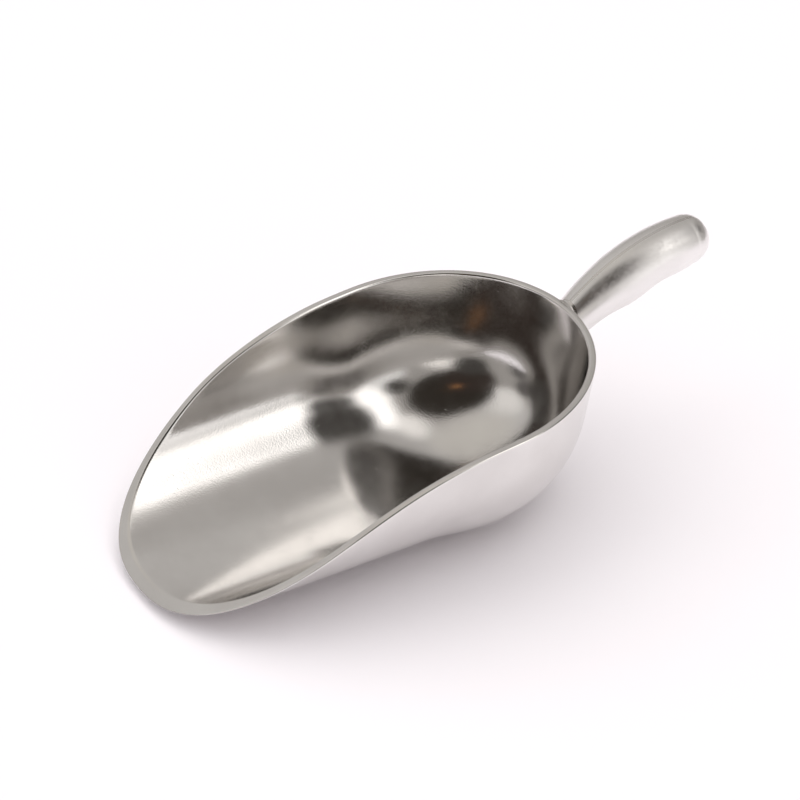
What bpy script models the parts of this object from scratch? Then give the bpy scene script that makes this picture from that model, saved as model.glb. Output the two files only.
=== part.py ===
"""Ice scoop: a deep metal bowl with an open slanted mouth and a hollow, upswept grip.

The bowl is one shell, trimmed along a slanted rim. The grip is two pressed half shells,
closed by a seam weld in the plane between them and fixed to the bowl's rear wall by a
ring of weld around its neck.

Frame: metres, +Z up, +Y from the lip towards the grip, mirror plane X = 0. The origin is
on the surface that the scoop rests on, below the middle of its overall length. The scoop
rests on the flat bottom of the well in the bowl's rear, a little lower than the lip.
"""

import math

import bmesh
import bpy
from mathutils import Vector

MM = 0.001

# Bowl: a trough that ends in a rounded rear, outside dimensions.
BOWL_LENGTH = 200 * MM
BOWL_HALF_WIDTH = 58.4 * MM   # at the height where the walls turn upright
BOWL_LEAN = 0.047             # how much wider the walls stand at RIM_HEIGHT
LIP_TAPER = 0.086             # how much narrower the trough is at the lip
TAPER_POWER = 1.6             # the trough narrows mostly near the lip
REAR_END_LENGTH = 68 * MM     # length of the rounded rear, a half ellipse seen from above
UPRIGHT_HEIGHT = 48.8 * MM    # height where the walls turn upright
SECTION_POWER = 2.4           # superellipse power of the trough's cross section
REAR_POWER = 2.8              # the rear's section is fuller
POWER_BLEND = 0.25            # part of the trough over which the section fills out
WALL = 3 * MM

# Well: the rear's belly is sunk below the trough's floor, and the scoop rests on it.
WELL_DEPTH = 4 * MM
WELL_CENTRE = 136 * MM        # behind the lip
WELL_HALF_LENGTH = 48 * MM
WELL_HALF_WIDTH = 75 * MM
WELL_FADE = 1.7               # how quickly the well fades out up the walls
BASE_FLAT_DEPTH = 0.6 * MM    # how far the well's round bottom is flattened
LIP_DROP = 0.25 * MM          # how far the trough's floor lies below the tip of the rim's cut
BASE_Z = BASE_FLAT_DEPTH - WELL_DEPTH - LIP_DROP

# Rim, seen from the side: a straight slanted cut from the lip's tip, a long arc, and a rear
# rim that rises a little towards the grip.
RIM_HEIGHT = 68 * MM
RIM_RISE = math.radians(5.8)
CUT_ANGLE = math.radians(33.7)
SHOULDER_RADIUS = 155 * MM
SHOULDER_STEPS = 16

# Grip: a round section along a circular arc that starts on the bowl's rear wall.
GRIP_ROOT_HEIGHT = 55.3 * MM
GRIP_ROOT_ANGLE = math.radians(38.3)
GRIP_END_ANGLE = math.radians(6.5)
GRIP_ARC_RADIUS = 124 * MM
NECK_RADIUS = 7.3 * MM
PALM_RADIUS = 11.5 * MM
END_RADIUS = 11 * MM
DOME_POWER = 2.2              # superellipse power of the domed end
GRIP_WALL = 2.5 * MM
SWELL_DEPTH = 0.8 * MM        # finger swells along the underside
SWELL_PITCH = 33 * MM

# Joints between the pieces.
SEAM_WIDTH = 1.5 * MM
WELD_LEG = 3.5 * MM
WELD_FILL = 0.35              # 0 is a sharp hollow corner, 1 a straight bevel
GAP = 0.3 * MM

# Facets.
TROUGH_STATIONS = 19
FAN_STATIONS = 15
SECTION_STEPS = 17
WALL_STEPS = 4
GRIP_STATIONS = 26
DOME_STATIONS = 9
GRIP_SIDES = 40
WELD_STEPS = 5
SHARP_ANGLE = math.radians(40)  # edges sharper than this stay sharp in shading
MERGE_DISTANCE = 0.01 * MM
HALVINGS = 40                 # steps of the search for the grip's foot on the wall
MIRROR_MERGE = 0.05 * MM

# Extra material that the trimming cuts remove.
TRIM = 12 * MM
LIP_TRIM = 8 * MM
REACH = 400 * MM

ARC_TURN = GRIP_ROOT_ANGLE - GRIP_END_ANGLE
ARC_LENGTH = GRIP_ARC_RADIUS * ARC_TURN
GRIP_LENGTH = ARC_LENGTH + END_RADIUS


def grip_point(s):
    """Centreline of the grip at arc length s from the rear wall: (y, z, angle)."""
    angle = GRIP_ROOT_ANGLE - min(s, ARC_LENGTH) / GRIP_ARC_RADIUS
    y = GRIP_ARC_RADIUS * (math.sin(GRIP_ROOT_ANGLE) - math.sin(angle))
    z = GRIP_ARC_RADIUS * (math.cos(angle) - math.cos(GRIP_ROOT_ANGLE))
    past = max(s - ARC_LENGTH, 0)
    y += past * math.cos(angle)
    z += past * math.sin(angle)
    return BOWL_LENGTH + y, GRIP_ROOT_HEIGHT + z, angle


# The parts are shaped in the lip's frame, whose origin is at the tip of the rim's cut.
GRIP_TIP = grip_point(GRIP_LENGTH)[0]
LIP_FRAME = Vector((0, -GRIP_TIP / 2, -BASE_Z))


def clear_scene():
    for obj in list(bpy.data.objects):
        bpy.data.objects.remove(obj, do_unlink=True)


def new_collection(name):
    collection = bpy.data.collections.new(name)
    bpy.context.scene.collection.children.link(collection)
    return collection


def metal(name, colour, roughness):
    material = bpy.data.materials.new(name)
    material.use_nodes = True
    shader = material.node_tree.nodes["Principled BSDF"]
    shader.inputs["Base Color"].default_value = (*colour, 1)
    shader.inputs["Metallic"].default_value = 1
    shader.inputs["Roughness"].default_value = roughness
    material.diffuse_color = (*colour, 1)
    return material


def grid_mesh(name, rows, close_rows=False, close_columns=False):
    """A mesh through rows of points; neighbouring rows are joined by quads.

    Points that coincide, such as a pole, are merged.
    """
    count = len(rows[0])
    bm = bmesh.new()
    verts = [[bm.verts.new(point) for point in row] for row in rows]
    row_pairs = len(rows) if close_rows else len(rows) - 1
    column_pairs = count if close_columns else count - 1
    for i in range(row_pairs):
        near, far = verts[i], verts[(i + 1) % len(rows)]
        for j in range(column_pairs):
            k = (j + 1) % count
            bm.faces.new((near[j], near[k], far[k], far[j]))
    bmesh.ops.remove_doubles(bm, verts=bm.verts, dist=MERGE_DISTANCE)
    bmesh.ops.dissolve_degenerate(bm, edges=bm.edges, dist=MERGE_DISTANCE)
    mesh = bpy.data.meshes.new(name)
    bm.to_mesh(mesh)
    bm.free()
    return mesh


def close_mesh(mesh):
    """Fill any open ends, and turn every face outwards."""
    bm = bmesh.new()
    bm.from_mesh(mesh)
    bmesh.ops.holes_fill(bm, edges=bm.edges, sides=0)
    bmesh.ops.recalc_face_normals(bm, faces=bm.faces)
    bm.to_mesh(mesh)
    bm.free()


def add_object(name, mesh, collection, material=None):
    obj = bpy.data.objects.new(name, mesh)
    collection.objects.link(obj)
    if material:
        mesh.materials.append(material)
    obj.location = LIP_FRAME
    return obj


def solidify(obj, thickness):
    """Thicken an open surface towards its inner side."""
    modifier = obj.modifiers.new("wall", "SOLIDIFY")
    modifier.thickness = thickness
    modifier.offset = -1
    modifier.use_even_offset = True


def boolean(obj, operation, cutter):
    modifier = obj.modifiers.new(f"{operation.lower()} {cutter.name}", "BOOLEAN")
    modifier.operation = operation
    modifier.object = cutter
    modifier.solver = "EXACT"


def smooth(obj):
    obj.data.shade_smooth()
    obj.data.set_sharp_from_angle(angle=SHARP_ANGLE)


def cutter_box(name, low, high, collection):
    """A box cutter between two corners."""
    bm = bmesh.new()
    bmesh.ops.create_cube(bm, size=1)
    size = [b - a for a, b in zip(low, high)]
    centre = [(a + b) / 2 for a, b in zip(low, high)]
    bmesh.ops.scale(bm, vec=size, verts=bm.verts)
    bmesh.ops.translate(bm, vec=centre, verts=bm.verts)
    mesh = bpy.data.meshes.new(name)
    bm.to_mesh(mesh)
    bm.free()
    return as_cutter(add_object(name, mesh, collection))


def as_cutter(obj):
    obj.hide_render = True
    obj.display_type = "WIRE"
    return obj


def rounded_corner(before, corner, after, radius, steps):
    """Points of the arc that rounds the corner between two straight lines."""
    back = (before - corner).normalized()
    ahead = (after - corner).normalized()
    half = back.angle(ahead) / 2
    reach = radius / math.tan(half)
    centre = corner + (back + ahead).normalized() * radius / math.sin(half)
    start = corner + back * reach - centre
    end = corner + ahead * reach - centre
    return [centre + start.slerp(end, k / steps) * radius for k in range(steps + 1)]


# ---- Bowl ----

def trough_half_width(y):
    ahead = 1 - y / (BOWL_LENGTH - REAR_END_LENGTH)
    return BOWL_HALF_WIDTH * (1 - LIP_TAPER * ahead ** TAPER_POWER)


def section_power(spine_y):
    """Superellipse power of the section, which eases from the trough's to the rear's."""
    fan_y = BOWL_LENGTH - REAR_END_LENGTH
    share = min(max(1 - (fan_y - spine_y) / (POWER_BLEND * fan_y), 0), 1)
    return SECTION_POWER + (REAR_POWER - SECTION_POWER) * share * share * (3 - 2 * share)


def well(x, y, low):
    """Depth of the well at (x, y); low is 1 on the belly and 0 where the wall is upright."""
    away = (x / WELL_HALF_WIDTH) ** 2 + ((y - WELL_CENTRE) / WELL_HALF_LENGTH) ** 2
    return WELL_DEPTH * max(1 - away, 0) ** 2 * low ** WELL_FADE


def rib(spine_y, plan_x, plan_y, top):
    """One rib of the outer surface, from the spine on the belly up to the height top."""
    power = section_power(spine_y)
    points = []
    for k in range(SECTION_STEPS + 1):
        angle = math.pi / 2 * k / SECTION_STEPS
        out = math.sin(angle) ** (2 / power)
        low = max(math.cos(angle), 0) ** (2 / power)
        points.append((out, low, UPRIGHT_HEIGHT * (1 - low)))
    for k in range(1, WALL_STEPS + 1):
        points.append((1, 0, UPRIGHT_HEIGHT + (top - UPRIGHT_HEIGHT) * k / WALL_STEPS))
    result = []
    for out, low, z in points:
        x = plan_x * out * (1 + BOWL_LEAN * (z / RIM_HEIGHT) ** 2)
        y = spine_y + (plan_y - spine_y) * out
        z -= LIP_DROP + well(x, y, low)
        result.append((x, y, max(z, BASE_Z)))
    return result


def bowl_ribs():
    """Ribs from ahead of the lip, along the trough and round the rear end."""
    fan_y = BOWL_LENGTH - REAR_END_LENGTH
    top = RIM_HEIGHT + TRIM
    ribs = []
    for i in range(TROUGH_STATIONS):
        y = -LIP_TRIM + (fan_y + LIP_TRIM) * i / TROUGH_STATIONS
        ribs.append(rib(y, trough_half_width(y), y, top))
    for i in range(FAN_STATIONS + 1):
        angle = math.pi / 2 * i / FAN_STATIONS
        x = BOWL_HALF_WIDTH * math.cos(angle)
        y = fan_y + REAR_END_LENGTH * math.sin(angle)
        ribs.append(rib(fan_y, x, y, top))
    return ribs


def rim_path():
    """The rim seen from the side, as (y, z), from below the lip to past the rear wall."""
    cut, rise = math.tan(CUT_ANGLE), math.tan(RIM_RISE)
    shoulder_y = (RIM_HEIGHT - rise * BOWL_LENGTH) / (cut - rise)
    front = Vector((-TRIM, -TRIM * cut))
    shoulder = Vector((shoulder_y, shoulder_y * cut))
    rear = Vector((BOWL_LENGTH + TRIM, RIM_HEIGHT + rise * TRIM))
    arc = rounded_corner(front, shoulder, rear, SHOULDER_RADIUS, SHOULDER_STEPS)
    return [front, *arc, rear]


def rim_cutter(collection):
    """Everything ahead of and above the rim, as a flat outline extruded across the bowl."""
    path = rim_path()
    outline = path + [Vector((path[-1].x, REACH)), Vector((path[0].x, REACH))]
    rows = [[(side * REACH, p.x, p.y) for p in outline] for side in (-1, 1)]
    mesh = grid_mesh("rim_cutter", rows, close_columns=True)
    close_mesh(mesh)
    return as_cutter(add_object("rim_cutter", mesh, collection))


def make_bowl(parts, cutters, material):
    ribs = bowl_ribs()
    ribs.reverse()  # from the rear to the lip, so that the faces point outwards
    mesh = grid_mesh("bowl", ribs)
    bowl = add_object("bowl", mesh, parts, material)
    mirror = bowl.modifiers.new("other side", "MIRROR")
    mirror.use_clip = True
    mirror.merge_threshold = MIRROR_MERGE
    solidify(bowl, WALL)
    boolean(bowl, "DIFFERENCE", rim_cutter(cutters))
    smooth(bowl)
    return bowl


# ---- Grip ----

def grip_radius(s):
    """Radius of the grip at arc length s, without the finger swells."""
    t = min(max(s / ARC_LENGTH, 0), 1)
    radius = NECK_RADIUS * (1 - t) * (1 - 2 * t)
    radius += PALM_RADIUS * 4 * t * (1 - t) + END_RADIUS * t * (2 * t - 1)
    past = min(max(s - ARC_LENGTH, 0) / END_RADIUS, 1)
    return radius * (1 - past ** DOME_POWER) ** (1 / DOME_POWER)


def finger_swell(s):
    """How far the underside stands proud of the round section at arc length s."""
    if not 0 < s < ARC_LENGTH:
        return 0
    fade = math.sqrt(math.sin(math.pi * s / ARC_LENGTH))
    return SWELL_DEPTH * fade * math.cos(2 * math.pi * (s / SWELL_PITCH - 1))


def grip_surface(s, turn, clearance=0.0):
    """A point on the grip's outer surface; turn runs round it from the top."""
    y, z, angle = grip_point(s)
    under = ((1 - math.cos(turn)) / 2) ** 2
    radius = grip_radius(s) + finger_swell(s) * under + clearance
    across = radius * math.sin(turn)
    up = radius * math.cos(turn)
    return Vector((across, y - up * math.sin(angle), z + up * math.cos(angle)))


def grip_shell_mesh(name):
    """Outer surface of the whole grip, from inside the rear wall to its domed end."""
    stations = [-TRIM + (ARC_LENGTH + TRIM) * i / GRIP_STATIONS for i in range(GRIP_STATIONS)]
    for i in range(DOME_STATIONS + 1):
        turn = math.pi / 2 * i / DOME_STATIONS
        stations.append(ARC_LENGTH + END_RADIUS * math.sin(turn))
    rows = []
    for s in stations:
        turns = [2 * math.pi * (j + 0.5) / GRIP_SIDES for j in range(GRIP_SIDES)]
        rows.append([grip_surface(s, turn) for turn in turns])
    return grid_mesh(name, rows, close_columns=True)


def make_grip_piece(name, side_range, parts, cutters, material):
    """The slice of the hollow grip between two planes of constant X, cut at the wall."""
    piece = add_object(name, grip_shell_mesh(name), parts, material)
    solidify(piece, GRIP_WALL)
    low = (side_range[0], BOWL_LENGTH + GAP, 0)
    high = (side_range[1], BOWL_LENGTH + REACH, REACH)
    slab = cutter_box(f"{name}_slab", low, high, cutters)
    boolean(piece, "INTERSECT", slab)
    smooth(piece)
    return piece


def rear_wall_y(x):
    """Outer face of the rear wall at the sideways distance x."""
    depth = REAR_END_LENGTH * math.sqrt(1 - (x / BOWL_HALF_WIDTH) ** 2)
    return BOWL_LENGTH - REAR_END_LENGTH + depth


def wall_arc_length(turn):
    """Arc length at which the grip's surface, just clear of it, leaves the rear wall."""
    low, high = -2 * NECK_RADIUS, 2 * NECK_RADIUS
    for _ in range(HALVINGS):
        middle = (low + high) / 2
        point = grip_surface(middle, turn, GAP)
        if point.y < rear_wall_y(point.x) + GAP:
            low = middle
        else:
            high = middle
    return high


def weld_section(turn):
    """Closed section of the root weld where the grip's surface is at the angle turn."""
    s = wall_arc_length(turn)
    corner = grip_surface(s, turn, GAP)
    foot_on_grip = grip_surface(s + WELD_LEG, turn, GAP)
    outward = Vector((corner.x, 0, corner.z - GRIP_ROOT_HEIGHT)).normalized()
    foot_on_wall = corner + outward * WELD_LEG
    foot_on_wall.y = rear_wall_y(foot_on_wall.x) + GAP
    hollow = corner.lerp((foot_on_grip + foot_on_wall) / 2, WELD_FILL)
    section = [corner, foot_on_wall]
    for k in range(1, WELD_STEPS):
        t = k / WELD_STEPS
        section.append(foot_on_wall.lerp(hollow, t).lerp(hollow.lerp(foot_on_grip, t), t))
    section.append(foot_on_grip)
    return section


def make_root_weld(parts, material):
    rows = [weld_section(2 * math.pi * j / GRIP_SIDES) for j in range(GRIP_SIDES)]
    mesh = grid_mesh("root_weld", rows, close_rows=True, close_columns=True)
    close_mesh(mesh)
    weld = add_object("root_weld", mesh, parts, material)
    smooth(weld)
    return weld


def main():
    clear_scene()
    parts = new_collection("ice_scoop")
    cutters = new_collection("cutters")

    bowl_metal = metal("bowl_metal", (0.77, 0.75, 0.73), 0.2)
    grip_metal = metal("grip_metal", (0.8, 0.78, 0.76), 0.25)
    weld_metal = metal("weld_metal", (0.76, 0.74, 0.72), 0.3)

    make_bowl(parts, cutters, bowl_metal)
    half_seam = SEAM_WIDTH / 2
    sides = {
        "grip_shell_left": (-REACH, -half_seam - GAP),
        "grip_shell_right": (half_seam + GAP, REACH),
    }
    for name, side_range in sides.items():
        make_grip_piece(name, side_range, parts, cutters, grip_metal)
    make_grip_piece("grip_seam_weld", (-half_seam, half_seam), parts, cutters, weld_metal)
    make_root_weld(parts, weld_metal)


main()
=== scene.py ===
"""Looks of the ice scoop: fine surfaces, polished metal, studio light and the camera."""

import math

import bmesh
import bpy
import numpy as np
from mathutils import Matrix, Vector


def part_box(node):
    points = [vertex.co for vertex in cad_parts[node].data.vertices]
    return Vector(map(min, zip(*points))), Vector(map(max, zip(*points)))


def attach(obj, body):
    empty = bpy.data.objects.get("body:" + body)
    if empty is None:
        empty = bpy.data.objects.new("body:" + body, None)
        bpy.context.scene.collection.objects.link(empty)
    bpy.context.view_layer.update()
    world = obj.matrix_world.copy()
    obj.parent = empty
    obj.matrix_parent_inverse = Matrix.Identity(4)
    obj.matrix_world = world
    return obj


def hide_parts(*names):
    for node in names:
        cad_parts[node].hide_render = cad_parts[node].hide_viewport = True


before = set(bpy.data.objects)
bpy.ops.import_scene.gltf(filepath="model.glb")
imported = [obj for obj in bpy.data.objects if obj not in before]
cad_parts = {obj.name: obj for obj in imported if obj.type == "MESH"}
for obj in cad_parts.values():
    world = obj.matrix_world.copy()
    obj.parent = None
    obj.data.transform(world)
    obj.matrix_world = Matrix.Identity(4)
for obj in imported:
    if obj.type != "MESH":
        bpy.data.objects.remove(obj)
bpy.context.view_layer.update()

MM = 0.001

# ---- Places that the frame gives ----
SEAM_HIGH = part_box("grip_seam_weld")[1]
SEAM_HALF = SEAM_HIGH.x
LIP_Y = -SEAM_HIGH.y          # the origin is halfway between the lip and the grip's end

# ---- The bowl's shape, the same driving dimensions as the CAD ----
HALF_WIDTH = 58.4 * MM
LEAN = 0.047
LIP_TAPER = 0.086
TAPER_POWER = 1.6
REAR_END = 68 * MM
UPRIGHT_Z = 48.8 * MM
SECTION_POWER = 2.4
REAR_POWER = 2.8
POWER_BLEND = 0.25
WALL = 3 * MM
WELL_DEPTH = 4 * MM
WELL_HALF_LENGTH = 48 * MM
WELL_HALF_WIDTH = 75 * MM
WELL_FADE = 1.7
INNER_WELL_DEPTH = 4.8 * MM   # ground out a little deeper than the outside shows
INNER_WELL_HALF_LENGTH = 43 * MM
FLAT_DEPTH = 0.6 * MM
LIP_DROP = 0.25 * MM
BOWL_LENGTH = 200 * MM
RIM_Z = 68 * MM
RIM_RISE = math.tan(math.radians(5.8))
CUT_SLOPE = math.tan(math.radians(33.7))
SHOULDER_RADIUS = 155 * MM

REAR_Y = LIP_Y + BOWL_LENGTH
FAN_Y = REAR_Y - REAR_END
WELL_Y = LIP_Y + 136 * MM
INNER_WELL_Y = LIP_Y + 141 * MM
LIP_Z = WELL_DEPTH + LIP_DROP - FLAT_DEPTH    # height of the tip of the rim's cut

# ---- Fineness of the surfaces ----
RIM_STEPS = 150               # rays on each side of the bowl, from the lip to the rear
OUTER_RINGS = 56
INNER_RINGS = 80
EDGE_STEPS = 5
RIM_SEARCH = 1500             # places tried when the rim is found
LIP_CROWDING = 2.2            # they crowd towards the lip, where the rim turns quickly
RIB_TOP = 1.6
HALVINGS = 40

PROBE = 0.01                  # share of a ray over which its speed at the rim is taken
OUTER_EDGE = 0.8 * MM         # how far the rim's edges are rounded over
INNER_EDGE = 1.1 * MM


def rim_height(y):
    """Height of the rim's cut at y: a straight slanted cut, an arc, a gently rising rear."""
    y = np.asarray(y, float) - LIP_Y
    corner = (RIM_Z - RIM_RISE * BOWL_LENGTH) / (CUT_SLOPE - RIM_RISE)
    low, high = math.atan(RIM_RISE), math.atan(CUT_SLOPE)
    reach = SHOULDER_RADIUS * math.tan((high - low) / 2)
    start = corner - reach * math.cos(high)
    end = corner + reach * math.cos(low)
    centre_y = start + SHOULDER_RADIUS * math.sin(high)
    centre_z = start * CUT_SLOPE - SHOULDER_RADIUS * math.cos(high)
    arc = centre_z + np.sqrt(np.maximum(SHOULDER_RADIUS ** 2 - (y - centre_y) ** 2, 0))
    rear = RIM_Z + RIM_RISE * (y - BOWL_LENGTH)
    return LIP_Z + np.where(y < start, y * CUT_SLOPE, np.where(y < end, arc, rear))


class Shell:
    """One face of the bowl's wall, set in from the outer surface by inset.

    A place on it is (side, t): side is y along the trough, or FAN_Y plus the angle of a
    meridian round the rear; t runs from 0 on the spine to 1 where the wall turns upright,
    and on above that.
    """

    def __init__(self, inset, well_depth, well_y, well_half_length):
        self.inset = inset
        self.well_depth = well_depth
        self.well_y = well_y
        self.well_half_length = well_half_length

    def point(self, side, t):
        side, t = np.asarray(side, float), np.asarray(t, float)
        trough_y = np.minimum(side, FAN_Y)
        angle = np.clip(side - FAN_Y, 0, math.pi / 2)
        ahead = np.clip((FAN_Y - trough_y) / (FAN_Y - LIP_Y), 0, 1)
        share = np.clip(1 - ahead / POWER_BLEND, 0, 1)
        power = SECTION_POWER + (REAR_POWER - SECTION_POWER) * share ** 2 * (3 - 2 * share)
        turn = np.clip(t, 0, 1) * math.pi / 2
        low = np.maximum(np.cos(turn), 0) ** (2 / power)
        out = np.sin(turn) ** (2 / power)
        z = UPRIGHT_Z - (UPRIGHT_Z - self.inset) * low + np.maximum(t - 1, 0) * UPRIGHT_Z
        half_width = HALF_WIDTH * (1 - LIP_TAPER * ahead ** TAPER_POWER) - self.inset
        x = half_width * np.cos(angle) * out * (1 + LEAN * (z / RIM_Z) ** 2)
        y = trough_y + (REAR_END - self.inset) * np.sin(angle) * out
        away = (x / WELL_HALF_WIDTH) ** 2 + ((y - self.well_y) / self.well_half_length) ** 2
        z = z - self.well_depth * np.maximum(1 - away, 0) ** 2 * low ** WELL_FADE
        z = np.maximum(z - LIP_DROP + LIP_Z, 0)
        return np.stack(np.broadcast_arrays(x, y, z), -1)

    def rim_t(self, sides):
        """How far up each rib the rim cuts it."""
        low, high = np.zeros_like(sides), np.full_like(sides, RIB_TOP)
        for _ in range(HALVINGS):
            middle = (low + high) / 2
            point = self.point(sides, middle)
            under = point[:, 2] < rim_height(point[:, 1])
            low, high = np.where(under, middle, low), np.where(under, high, middle)
        return high

    def rim(self):
        """(side, t) along the rim on the +X side, from the lip to the rear, evenly spaced."""
        floor_z = self.point(LIP_Y, 0)[2]
        start_y = LIP_Y + (floor_z - LIP_Z) / CUT_SLOPE
        along = start_y + (FAN_Y - start_y) * np.linspace(0, 1, RIM_SEARCH) ** LIP_CROWDING
        turn = np.linspace(0, math.pi / 2, RIM_SEARCH)[1:]
        sides = np.concatenate([along, FAN_Y + turn])
        places = np.stack([sides, self.rim_t(sides)], 1)
        points = self.point(places[:, 0], places[:, 1])
        run = np.concatenate([[0], np.cumsum(np.linalg.norm(np.diff(points, axis=0), axis=1))])
        even = np.linspace(0, run[-1], RIM_STEPS + 1)
        return np.stack([np.interp(even, run, places[:, i]) for i in (0, 1)], 1)

    def ray(self, place, steps):
        """Points on the surface from the spine's rear end to a place on the rim."""
        side, t = place
        if side <= FAN_Y:
            sides = FAN_Y + (side - FAN_Y) * steps
        else:
            sides = np.full_like(steps, side)
        return self.point(sides, t * steps)


def rounded_edge(before, corner, after):
    """Points of a smooth turn from before to after, past a corner."""
    steps = np.linspace(0, 1, EDGE_STEPS + 2)[:, None]
    return (1 - steps) ** 2 * before + 2 * steps * (1 - steps) * corner + steps ** 2 * after


def toward(a, b, distance):
    gap = b - a
    return a + gap * (distance / np.linalg.norm(gap))


def face_points(shell, place, rings, edge):
    """Points up one face to where the rim starts to round over, and the rim's corner."""
    near, corner = shell.ray(place, np.array([1 - PROBE, 1]))
    rounded = PROBE * edge / np.linalg.norm(corner - near)
    return shell.ray(place, np.linspace(0, 1 - rounded, rings + 1)[1:]), corner


def bowl_profile(outer, inner, outer_place, inner_place):
    """One closed section of the wall: up the outside, over the rim, down the inside."""
    outside, out_corner = face_points(outer, outer_place, OUTER_RINGS, OUTER_EDGE)
    inside, in_corner = face_points(inner, inner_place, INNER_RINGS, INNER_EDGE)
    over_out = rounded_edge(outside[-1], out_corner, toward(out_corner, in_corner, OUTER_EDGE))
    over_in = rounded_edge(toward(in_corner, out_corner, INNER_EDGE), in_corner, inside[-1])
    return np.concatenate([outside[:-1], over_out, over_in, inside[:-1][::-1]])


def face_out(mesh):
    """Turns every face of a closed mesh outwards."""
    shape = bmesh.new()
    shape.from_mesh(mesh)
    bmesh.ops.recalc_face_normals(shape, faces=shape.faces)
    shape.to_mesh(mesh)
    shape.free()


def ring_mesh(name, sections, start_pole, end_pole):
    """A closed mesh through a loop of sections that share a first and a last point."""
    count = len(sections[0])
    loop = len(sections)
    verts = [tuple(p) for section in sections for p in section]
    verts += [tuple(start_pole), tuple(end_pole)]
    first, last = loop * count, loop * count + 1
    faces = []
    for i in range(loop):
        a, b = i * count, (i + 1) % loop * count
        faces.append((first, b, a))
        for j in range(count - 1):
            faces.append((a + j, b + j, b + j + 1, a + j + 1))
        faces.append((a + count - 1, b + count - 1, last))
    mesh = bpy.data.meshes.new(name)
    mesh.from_pydata(verts, [], faces)
    mesh.validate()
    face_out(mesh)
    mesh.shade_smooth()
    return mesh


def add_piece(name, mesh, material, slot, *nodes):
    piece = bpy.data.objects.new(name, mesh)
    bpy.context.scene.collection.objects.link(piece)
    mesh.materials.append(material)
    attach(piece, "root")
    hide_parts(*nodes)
    return piece


def make_bowl(material):
    outer = Shell(0, WELL_DEPTH, WELL_Y, WELL_HALF_LENGTH)
    inner = Shell(WALL, INNER_WELL_DEPTH, INNER_WELL_Y, INNER_WELL_HALF_LENGTH)
    places = list(zip(outer.rim(), inner.rim()))
    half = [bowl_profile(outer, inner, *place) for place in places]
    mirror = np.array([-1, 1, 1])
    sections = half + [section * mirror for section in half[-2:0:-1]]
    poles = [shell.point(FAN_Y, 0) for shell in (outer, inner)]
    mesh = ring_mesh("scoop_bowl", sections, *poles)
    return add_piece("scoop_bowl", mesh, material, "bowl_metal", "bowl")


# ---- Grip ----

ROOT_Z = LIP_Z + 55.3 * MM
ROOT_ANGLE = math.radians(38.3)
END_ANGLE = math.radians(6.5)
ARC_RADIUS = 124 * MM
NECK_RADIUS = 7.3 * MM
PALM_RADIUS = 11.5 * MM
END_RADIUS = 11 * MM
DOME_POWER = 2.2
SWELL_DEPTH = 0.8 * MM
SWELL_PITCH = 33 * MM
ARC_LENGTH = ARC_RADIUS * (ROOT_ANGLE - END_ANGLE)
WELD_LEG = 3.5 * MM

GRIP_STEPS = 120
DOME_STEPS = 40
HALF_TURNS = 72
SEAM_TURNS = 6
SKIRT_END = 14 * MM           # where the rings, slanted to suit the wall, have come square
SKIRT_STEPS = 14
ROOT_SINK = 1 * MM            # how far the grip's end stands in the wall
ROOT_SEARCH = 30 * MM
WELD_STEPS = 12
WELD_FILL = 0.12              # 0 hugs the corner, 0.5 is a straight bevel
FULL_TURN_SINE = 0.98
SHARP_ANGLE = math.radians(40)
MERGE = 1e-6
POLISH = 0.06 * MM            # what dressing takes off the grip


def grip_radius(s):
    t = np.clip(s / ARC_LENGTH, 0, 1)
    radius = NECK_RADIUS * (1 - t) * (1 - 2 * t)
    radius = radius + PALM_RADIUS * 4 * t * (1 - t) + END_RADIUS * t * (2 * t - 1)
    past = np.clip((s - ARC_LENGTH) / END_RADIUS, 0, 1)
    return radius * (1 - past ** DOME_POWER) ** (1 / DOME_POWER)


def finger_swell(s):
    inside = np.clip(s / ARC_LENGTH, 0, 1)
    fade = np.sqrt(np.maximum(np.sin(math.pi * inside), 0))
    return SWELL_DEPTH * fade * np.cos(2 * math.pi * (s / SWELL_PITCH - 1))


def grip_surface(s, turn, clearance=0.0):
    """Points on the grip at arc length s from the rear wall, turn round from the top."""
    s, turn = np.asarray(s, float), np.asarray(turn, float)
    angle = ROOT_ANGLE - np.minimum(s, ARC_LENGTH) / ARC_RADIUS
    past = np.maximum(s - ARC_LENGTH, 0)
    y = REAR_Y + ARC_RADIUS * (math.sin(ROOT_ANGLE) - np.sin(angle)) + past * np.cos(angle)
    z = ROOT_Z + ARC_RADIUS * (np.cos(angle) - math.cos(ROOT_ANGLE)) + past * np.sin(angle)
    under = ((1 - np.cos(turn)) / 2) ** 2
    radius = grip_radius(s) + finger_swell(s) * under + clearance - POLISH
    up = radius * np.cos(turn)
    places = (radius * np.sin(turn), y - up * np.sin(angle), z + up * np.cos(angle))
    return np.stack(np.broadcast_arrays(*places), -1)


def loop_mesh(name, loops, close_start=True, close_end=True):
    """A closed mesh through a row of equally long loops of points, capped at open ends."""
    count = len(loops[0])
    verts = [tuple(p) for loop in loops for p in loop]
    faces = []
    for i in range(len(loops) - 1):
        a, b = i * count, (i + 1) * count
        for j in range(count):
            k = (j + 1) % count
            faces.append((a + j, b + j, b + k, a + k))
    if close_start:
        faces.append(tuple(range(count)))
    if close_end:
        faces.append(tuple(reversed(range((len(loops) - 1) * count, len(loops) * count))))
    mesh = bpy.data.meshes.new(name)
    mesh.from_pydata(verts, [], faces)
    mesh.validate()
    face_out(mesh)
    mesh.shade_smooth()
    mesh.set_sharp_from_angle(angle=SHARP_ANGLE)
    return mesh


def rear_wall_y(x, z):
    half = HALF_WIDTH * (1 + LEAN * ((z - LIP_Z) / RIM_Z) ** 2)
    return FAN_Y + REAR_END * np.sqrt(np.maximum(1 - (x / half) ** 2, 0))


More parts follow.
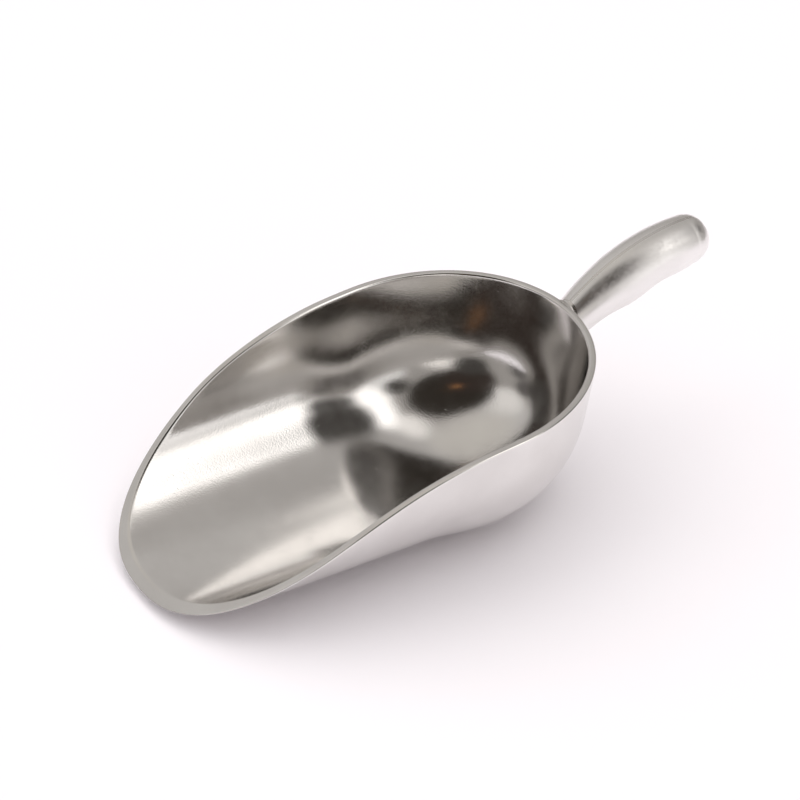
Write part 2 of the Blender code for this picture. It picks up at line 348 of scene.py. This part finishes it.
def root_place(turn, clearance=0.0):
    """Arc length at which the grip's surface meets the bowl's rear wall."""
    low, high = np.full_like(turn, -ROOT_SEARCH), np.full_like(turn, ROOT_SEARCH)
    for _ in range(HALVINGS):
        middle = (low + high) / 2
        point = grip_surface(middle, turn, clearance)
        outside = point[..., 1] > rear_wall_y(point[..., 0], point[..., 2])
        low, high = np.where(outside, low, middle), np.where(outside, middle, high)
    return high


def grip_stations():
    straight = np.linspace(SKIRT_END, ARC_LENGTH, GRIP_STEPS + 1)
    curl = np.sin(np.linspace(0, math.pi / 2, DOME_STEPS + 1))[1:-1]
    return np.concatenate([straight, ARC_LENGTH + (END_RADIUS - 2 * POLISH) * curl])


def grip_rings(turn_at):
    """Rings of points down the grip; turn_at(radius) gives each ring's turns round the grip."""
    neck_turn = turn_at(NECK_RADIUS)
    start = root_place(neck_turn) - ROOT_SINK
    shares = np.linspace(0, 1, SKIRT_STEPS + 1)[:-1]
    rings = [grip_surface(start + (SKIRT_END - start) * share, neck_turn) for share in shares]
    for s in grip_stations():
        rings.append(grip_surface(s, turn_at(grip_radius(s))))
    return rings


def seam_turn(radius):
    return math.asin(min(SEAM_HALF / radius, FULL_TURN_SINE))


def make_grip_half(name, side, material, node):
    def turns(radius):
        edge = seam_turn(radius)
        return side * np.linspace(edge, math.pi - edge, HALF_TURNS + 1)
    widths = [grip_radius(s) for s in grip_stations()]
    rings = grip_rings(turns)
    kept = len(rings) - len(widths) + sum(width > SEAM_HALF / FULL_TURN_SINE for width in widths)
    return add_piece(name, loop_mesh(name, rings[:kept]), material, "grip_metal", node)


def make_seam(material):
    def turns(radius):
        edge = seam_turn(radius)
        top = np.linspace(-edge, edge, SEAM_TURNS + 1)
        return np.concatenate([top, math.pi + top])
    mesh = loop_mesh("scoop_grip_seam", grip_rings(turns))
    return add_piece("scoop_grip_seam", mesh, material, "weld_metal", "grip_seam_weld")


def make_root_weld(material):
    turn = np.linspace(0, 2 * math.pi, 2 * HALF_TURNS, endpoint=False)
    meet = root_place(turn)
    corner = grip_surface(meet, turn)
    on_grip = grip_surface(meet + WELD_LEG, turn)
    ahead = grip_surface(meet, turn, WELD_LEG)
    on_wall = np.stack([ahead[:, 0], rear_wall_y(ahead[:, 0], ahead[:, 2]), ahead[:, 2]], -1)
    pull = corner + (on_grip + on_wall - 2 * corner) * WELD_FILL
    loops = []
    for share in np.linspace(0, 1, WELD_STEPS + 1):
        rest = 1 - share
        loops.append(rest ** 2 * on_wall + 2 * share * rest * pull + share ** 2 * on_grip)
    loops.append(grip_surface(meet + WELD_LEG, turn, -ROOT_SINK))
    loops.append(grip_surface(meet - ROOT_SINK, turn, -ROOT_SINK))
    sunk = on_wall.copy()
    sunk[:, 1] -= ROOT_SINK
    loops.append(sunk)
    loops.append(loops[0])
    name = "scoop_root_weld"
    mesh = loop_mesh(name, loops, False, False)
    shape = bmesh.new()
    shape.from_mesh(mesh)
    bmesh.ops.remove_doubles(shape, verts=shape.verts, dist=MERGE)
    bmesh.ops.recalc_face_normals(shape, faces=shape.faces)
    shape.to_mesh(mesh)
    shape.free()
    mesh.shade_smooth()
    mesh.set_sharp_from_angle(angle=SHARP_ANGLE)
    return add_piece(name, mesh, material, "weld_metal", "root_weld")


# ---- Metal ----

# How many of each feature the surface has in a metre, and the noise's detail
CLOUDS = (38, 5)
SPECKS = (1500, 2)
HAZE = (120, 6)
FINE_HAZE = (900, 3)
SCRATCHES = (55, 2)
GRAIN = (1400, 2)

SPECK_SHARE = 0.35            # how far a speck falls back to the dull tone
SCRATCH_TURNS = ((0.2, 0.4, 0.9), (1.1, 0.3, 2.3))
SCRATCH_STRETCH = (1, 26, 26)
SCRATCH_ROUGHNESS = 0.08
SCRATCH_DEPTH = 0.4
GRAIN_DEPTH = 0.03 * MM

# Each metal's dull tone, bright tone, roughness and strength of grain
BOWL_FINISH = ((0.68, 0.66, 0.645), (0.80, 0.785, 0.77), 0.13, 0.9)
# The grip is the same metal as the bowl, but its dull and bright tones are lighter: painted light,
# standing in for the light the handle catches. Its higher roughness is its own finish.
GRIP_FINISH_AND_PAINTED_LIGHT = ((0.80, 0.785, 0.77), (0.89, 0.875, 0.865), 0.33, 0.06)
WELD_FINISH = ((0.66, 0.64, 0.62), (0.80, 0.785, 0.77), 0.22, 0.35)


def mapped_noise(tree, scale, detail, stretch=(1, 1, 1), turn=(0, 0, 0)):
    """Noise in metres of the object's own space; scale counts features in one metre."""
    place = tree.nodes.new("ShaderNodeTexCoord")
    mapping = tree.nodes.new("ShaderNodeMapping")
    mapping.inputs["Rotation"].default_value = turn
    mapping.inputs["Scale"].default_value = stretch
    noise = tree.nodes.new("ShaderNodeTexNoise")
    noise.inputs["Scale"].default_value = scale
    noise.inputs["Detail"].default_value = detail
    tree.links.new(place.outputs["Object"], mapping.inputs["Vector"])
    tree.links.new(mapping.outputs["Vector"], noise.inputs["Vector"])
    return noise.outputs["Fac"]


def remap(tree, value, low, high, to_low, to_high):
    node = tree.nodes.new("ShaderNodeMapRange")
    node.interpolation_type = "SMOOTHSTEP"
    sockets = ("From Min", "From Max", "To Min", "To Max")
    for socket, number in zip(sockets, (low, high, to_low, to_high)):
        node.inputs[socket].default_value = number
    tree.links.new(value, node.inputs["Value"])
    return node.outputs["Result"]


def combine(tree, operation, first, second):
    node = tree.nodes.new("ShaderNodeMath")
    node.operation = operation
    for socket, value in zip(node.inputs, (first, second)):
        if isinstance(value, (int, float)):
            socket.default_value = value
        else:
            tree.links.new(value, socket)
    return node.outputs["Value"]


def polished_metal(name, dull, bright, roughness, grain):
    """Cast aluminium polished by hand: mottled tone, fine grain, hairline scratches and specks."""
    material = bpy.data.materials.new(name)
    material.use_nodes = True
    tree = material.node_tree
    shader = tree.nodes["Principled BSDF"]
    shader.inputs["Metallic"].default_value = 1

    cloud = mapped_noise(tree, *CLOUDS)
    tone = tree.nodes.new("ShaderNodeMix")
    tone.data_type = "RGBA"
    tone.inputs["A"].default_value = (*dull, 1)
    tone.inputs["B"].default_value = (*bright, 1)
    speck = remap(tree, mapped_noise(tree, *SPECKS), 0.66, 0.74, 0, SPECK_SHARE)
    mix = combine(tree, "SUBTRACT", remap(tree, cloud, 0.3, 0.7, 0.5, 1), speck)
    tree.links.new(mix, tone.inputs["Factor"])
    tree.links.new(tone.outputs["Result"], shader.inputs["Base Color"])

    haze = mapped_noise(tree, *HAZE)
    haze = remap(tree, haze, 0.35, 0.7, roughness * 0.9, roughness * 1.15)
    fine = remap(tree, mapped_noise(tree, *FINE_HAZE), 0.4, 0.75, 0, roughness * 0.3)
    rough = combine(tree, "ADD", haze, fine)
    marks = []
    for turn in SCRATCH_TURNS:
        lines = mapped_noise(tree, *SCRATCHES, SCRATCH_STRETCH, turn)
        marks.append(remap(tree, lines, 0.72, 0.78, 0, 1))
    scratch = combine(tree, "MAXIMUM", *marks)
    rough = combine(tree, "ADD", rough, combine(tree, "MULTIPLY", scratch, SCRATCH_ROUGHNESS))
    tree.links.new(rough, shader.inputs["Roughness"])

    cut = combine(tree, "MULTIPLY", scratch, SCRATCH_DEPTH)
    height = combine(tree, "SUBTRACT", mapped_noise(tree, *GRAIN), cut)
    bump = tree.nodes.new("ShaderNodeBump")
    bump.inputs["Strength"].default_value = grain
    bump.inputs["Distance"].default_value = GRAIN_DEPTH
    tree.links.new(height, bump.inputs["Height"])
    tree.links.new(bump.outputs["Normal"], shader.inputs["Normal"])
    return material


# ---- Camera, floor and light ----

CAMERA_AIM = Vector((-19.7 * MM, LIP_Y + 133.5 * MM, LIP_Z + 28.6 * MM))
CAMERA_AZIMUTH = 0.902        # radians, as the two below
CAMERA_ELEVATION = 0.624
CAMERA_ROLL = 0.101
CAMERA_DISTANCE = 0.734
CAMERA_LENS = 79.2
FLOOR_HALF = 8.0
FLOOR_TONE = (0.9, 0.87, 0.905)
FLOOR_ROUGHNESS = 0.9
FLOOR_LIGHT = 2.3
FLOOR_LIGHT_SPREAD = math.radians(100)
FLOOR_LIGHT_TILT = (math.radians(12), math.radians(-8), 0)
BACKDROP_TONE = (1, 0.99, 1)

# The studio tent's panels, each laid over those before it: azimuth from +X, elevation, radius
# and softness in degrees, then the tone
TENT_TONE = (0.36, 0.34, 0.32)
PANELS = (
    (-170, 45, 34, 14, (0.56, 0.54, 0.52)),    # left wall
    (-165, 64, 16, 10, (0.60, 0.57, 0.53)),    # its upper half
    (-112, 45, 14, 8, (0.80, 0.77, 0.74)),     # a white sheet beside the opening
    (-112, 17, 9, 5, (0.12, 0.11, 0.105)),     # the gap under it
    (80, 76, 11, 7, (1.0, 0.96, 0.92)),        # roof
    (55, 50, 17, 8, (1.8, 1.75, 1.7)),         # lamp behind the scoop
    (33, 38, 15, 7, (1.6, 1.55, 1.5)),         # its glow, lower down
    (12, 25, 12, 8, (0.9, 0.88, 0.86)),
    (112, 55, 14, 10, (0.46, 0.44, 0.42)),     # folds of the tent round the lamp
    (38, 20, 7, 5, (0.45, 0.43, 0.41)),
    (52, 31, 6, 4, (0.08, 0.075, 0.07)),       # dark slit in the tent's back
    (71, 41, 16, 6, (0.06, 0.055, 0.05)),
    (6, 42, 8, 5, (0.06, 0.055, 0.05)),
    (-50, 57, 27, 4, (0.03, 0.025, 0.02)),     # dark opening round the camera
    (-62, 38, 18, 6, (0.04, 0.03, 0.025)),
    (-35, 5, 20, 8, (1.1, 1.05, 1.0)),         # the white table's near edge
    (25, 8, 14, 7, (1.25, 1.22, 1.2)),         # and its right edge
    (-55, 20, 13, 6, (0.06, 0.055, 0.05)),     # dark room under the camera
    (-98, 3, 8, 5, (0.12, 0.11, 0.105)),
    (-52, 52, 2, 1, (0.45, 0.21, 0.08)),       # warm room lamp, seen through the opening
)


def make_camera():
    flat = math.cos(CAMERA_ELEVATION)
    back = Vector((math.sin(CAMERA_AZIMUTH) * flat, -math.cos(CAMERA_AZIMUTH) * flat,
                   math.sin(CAMERA_ELEVATION)))
    data = bpy.data.cameras.new("camera")
    data.lens = CAMERA_LENS
    camera = bpy.data.objects.new("camera", data)
    bpy.context.scene.collection.objects.link(camera)
    turn = (-back).to_track_quat("-Z", "Y").to_matrix()
    roll = Matrix.Rotation(CAMERA_ROLL, 3, "Z")
    place = Matrix.Translation(CAMERA_AIM + back * CAMERA_DISTANCE)
    camera.matrix_world = place @ (turn @ roll).to_4x4()
    bpy.context.scene.camera = camera


def make_floor():
    floor_mesh = bpy.data.meshes.new("floor")
    floor_mesh.from_pydata([(x * FLOOR_HALF, y * FLOOR_HALF, 0) for x, y in
                            ((-1, -1), (1, -1), (1, 1), (-1, 1))], [], [(0, 1, 2, 3)])
    floor = bpy.data.objects.new("floor", floor_mesh)
    bpy.context.scene.collection.objects.link(floor)
    material = bpy.data.materials.new("floor_white")
    material.use_nodes = True
    shader = material.node_tree.nodes["Principled BSDF"]
    shader.inputs["Base Color"].default_value = (*FLOOR_TONE, 1)
    shader.inputs["Roughness"].default_value = FLOOR_ROUGHNESS
    floor_mesh.materials.append(material)


def toward_sky(azimuth, elevation):
    """Unit vector to a place in the studio: degrees round from +X, degrees above the floor."""
    azimuth, elevation = math.radians(azimuth), math.radians(elevation)
    flat = math.cos(elevation)
    return flat * math.cos(azimuth), flat * math.sin(azimuth), math.sin(elevation)


def make_world():
    """A white studio tent with lit panels, darker folds and a dark opening at the front."""
    world = bpy.data.worlds.new("studio")
    bpy.context.scene.world = world
    world.use_nodes = True
    nodes, links = world.node_tree.nodes, world.node_tree.links
    place = nodes.new("ShaderNodeTexCoord")
    colour = None
    for azimuth, elevation, radius, soft, tone in PANELS:
        dot = nodes.new("ShaderNodeVectorMath")
        dot.operation = "DOT_PRODUCT"
        dot.inputs[1].default_value = toward_sky(azimuth, elevation)
        links.new(place.outputs["Generated"], dot.inputs[0])
        edge = nodes.new("ShaderNodeMapRange")
        edge.interpolation_type = "SMOOTHSTEP"
        edge.inputs["From Min"].default_value = math.cos(math.radians(radius + soft))
        edge.inputs["From Max"].default_value = math.cos(math.radians(radius - soft))
        links.new(dot.outputs["Value"], edge.inputs["Value"])
        mix = nodes.new("ShaderNodeMix")
        mix.data_type = "RGBA"
        if colour is None:
            mix.inputs["A"].default_value = (*TENT_TONE, 1)
        else:
            links.new(colour, mix.inputs["A"])
        mix.inputs["B"].default_value = (*tone, 1)
        links.new(edge.outputs["Result"], mix.inputs["Factor"])
        colour = mix.outputs["Result"]
    links.new(colour, nodes["Background"].inputs["Color"])

    plain = nodes.new("ShaderNodeBackground")
    plain.inputs["Color"].default_value = (*BACKDROP_TONE, 1)
    path = nodes.new("ShaderNodeLightPath")
    choose = nodes.new("ShaderNodeMixShader")
    links.new(path.outputs["Is Camera Ray"], choose.inputs[0])
    links.new(nodes["Background"].outputs["Background"], choose.inputs[1])
    links.new(plain.outputs["Background"], choose.inputs[2])
    links.new(choose.outputs["Shader"], nodes["World Output"].inputs["Surface"])


def make_floor_light():
    """A wide soft light that the metal doesn't mirror, so that the floor stays pale."""
    light = bpy.data.lights.new("floor_light", "SUN")
    light.energy = FLOOR_LIGHT
    light.angle = FLOOR_LIGHT_SPREAD
    lamp = bpy.data.objects.new("floor_light", light)
    lamp.rotation_euler = FLOOR_LIGHT_TILT
    lamp.visible_glossy = False
    bpy.context.scene.collection.objects.link(lamp)


def main():
    make_bowl(polished_metal("bowl_metal", *BOWL_FINISH))
    grip = polished_metal("grip_metal", *GRIP_FINISH_AND_PAINTED_LIGHT)
    make_grip_half("scoop_grip_left", -1, grip, "grip_shell_left")
    make_grip_half("scoop_grip_right", 1, grip, "grip_shell_right")
    weld = polished_metal("weld_metal", *WELD_FINISH)
    make_seam(weld)
    make_root_weld(weld)
    make_floor()
    make_world()
    make_floor_light()
    make_camera()
    bpy.context.scene.view_settings.view_transform = "Standard"


main()
